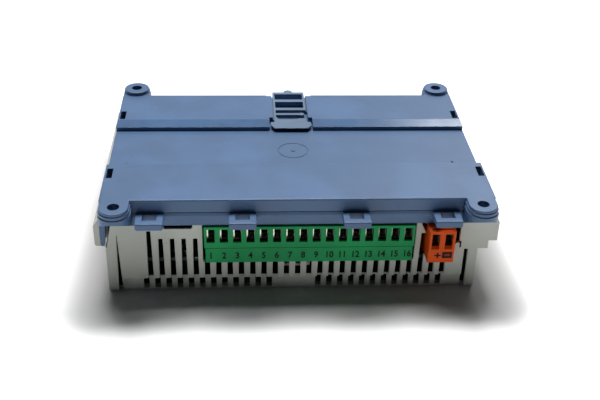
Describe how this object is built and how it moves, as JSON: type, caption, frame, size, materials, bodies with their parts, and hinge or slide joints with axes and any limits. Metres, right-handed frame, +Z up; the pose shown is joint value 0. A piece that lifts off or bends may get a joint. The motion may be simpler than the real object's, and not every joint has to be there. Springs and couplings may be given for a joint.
{
  "type": "plc module",
  "caption": "Rail- or wall-mounted controller module: ribbed grey cover on a blue-grey base plate with screw lugs, sliding rail latch and plug-in screw terminals",
  "frame": {"origin": "Centre of the footprint on the front face, which rests on the surface", "axes": "+X to the right along the long side, +Y towards the latch and bus socket side, +Z up from the front face towards the wall side of the base; the terminals face -Y"},
  "size_m": [0.1556, 0.1134, 0.042],
  "materials": {
    "base_plastic": "fine-textured moulded plastic, blue grey",
    "latch_plastic": "moulded plastic, satin",
    "cover_plastic": "fine-textured moulded plastic, warm grey",
    "label_film": "matt printed film, left plain",
    "clear_plastic": "clear acrylic light pipe",
    "green_plastic": "glass-filled plastic, green",
    "orange_plastic": "glass-filled plastic, orange",
    "header_green_plastic": "glass-filled plastic, green",
    "header_orange_plastic": "glass-filled plastic, orange",
    "zinc_steel": "zinc plated",
    "tinned_contact": "tinned copper alloy",
    "gold_contact": "gold flashed",
    "brass_cage": "nickel plated clamp",
    "board_green": "solder mask on fibreglass",
    "black_plastic": "black moulded plastic",
    "white_nylon": "natural nylon",
    "relay_plastic": "dark blue moulded case",
    "ferrite": "ferrite core",
    "bobbin_yellow": "tape-wrapped winding",
    "can_sleeve": "printed sleeve, left plain",
    "fuse_glass": "clear glass",
    "disc_blue": "epoxy-dipped disc",
    "sink_aluminium": "extruded, clear anodised",
    "shield_steel": "nickel plated shield",
    "led_lens": "clear lens"
  },
  "bodies": {
    "module": {"back_plate": "base_plastic", "housing": "cover_plastic", "front_label": "label_film", "light_pipes": "clear_plastic", "main_board": "board_green", "logic_board": "board_green", "main_board_screws": "zinc_steel", "logic_board_screws": "zinc_steel", "board_spacers": "white_nylon", "board_connector": "black_plastic", "board_connector_pins": "gold_contact", "terminal_header": "header_green_plastic", "terminal_header_pins": "tinned_contact", "power_header": "header_orange_plastic", "power_header_pins": "tinned_contact", "transformer_core": "ferrite", "transformer_bobbin": "bobbin_yellow", "capacitors": "can_sleeve", "fuse_tube": "fuse_glass", "fuse_caps": "tinned_contact", "fuse_clips": "tinned_contact", "jumper_link": "tinned_contact", "output_relays": "relay_plastic", "optocouplers": "black_plastic", "regulator": "black_plastic", "regulator_heatsink": "sink_aluminium", "varistors": "disc_blue", "bus_socket_shell": "shield_steel", "bus_socket_insert": "black_plastic", "bus_socket_contacts": "gold_contact", "microcontroller": "black_plastic", "memory_chips": "black_plastic", "crystal": "shield_steel", "backup_capacitor": "can_sleeve", "status_leds": "led_lens"},
    "latch": {"rail_latch": "latch_plastic"},
    "terminal_connector": {"terminal_plug": "green_plastic", "terminal_clamps": "brass_cage", "terminal_screws": "zinc_steel", "terminal_contacts": "tinned_contact"},
    "power_connector": {"power_plug": "orange_plastic", "power_clamps": "brass_cage", "power_screws": "zinc_steel", "power_contacts": "tinned_contact"}
  },
  "joints": [
    {"name": "latch_slide", "type": "slide", "parent": "module", "child": "latch", "axis": [0, 1, 0], "range_m": [0, 0.003]},
    {"name": "terminal_plug_pull", "type": "slide", "parent": "module", "child": "terminal_connector", "axis": [0, -1, 0], "range_m": [0, 0.02]},
    {"name": "power_plug_pull", "type": "slide", "parent": "module", "child": "power_connector", "axis": [0, -1, 0], "range_m": [0, 0.02]}
  ]
}
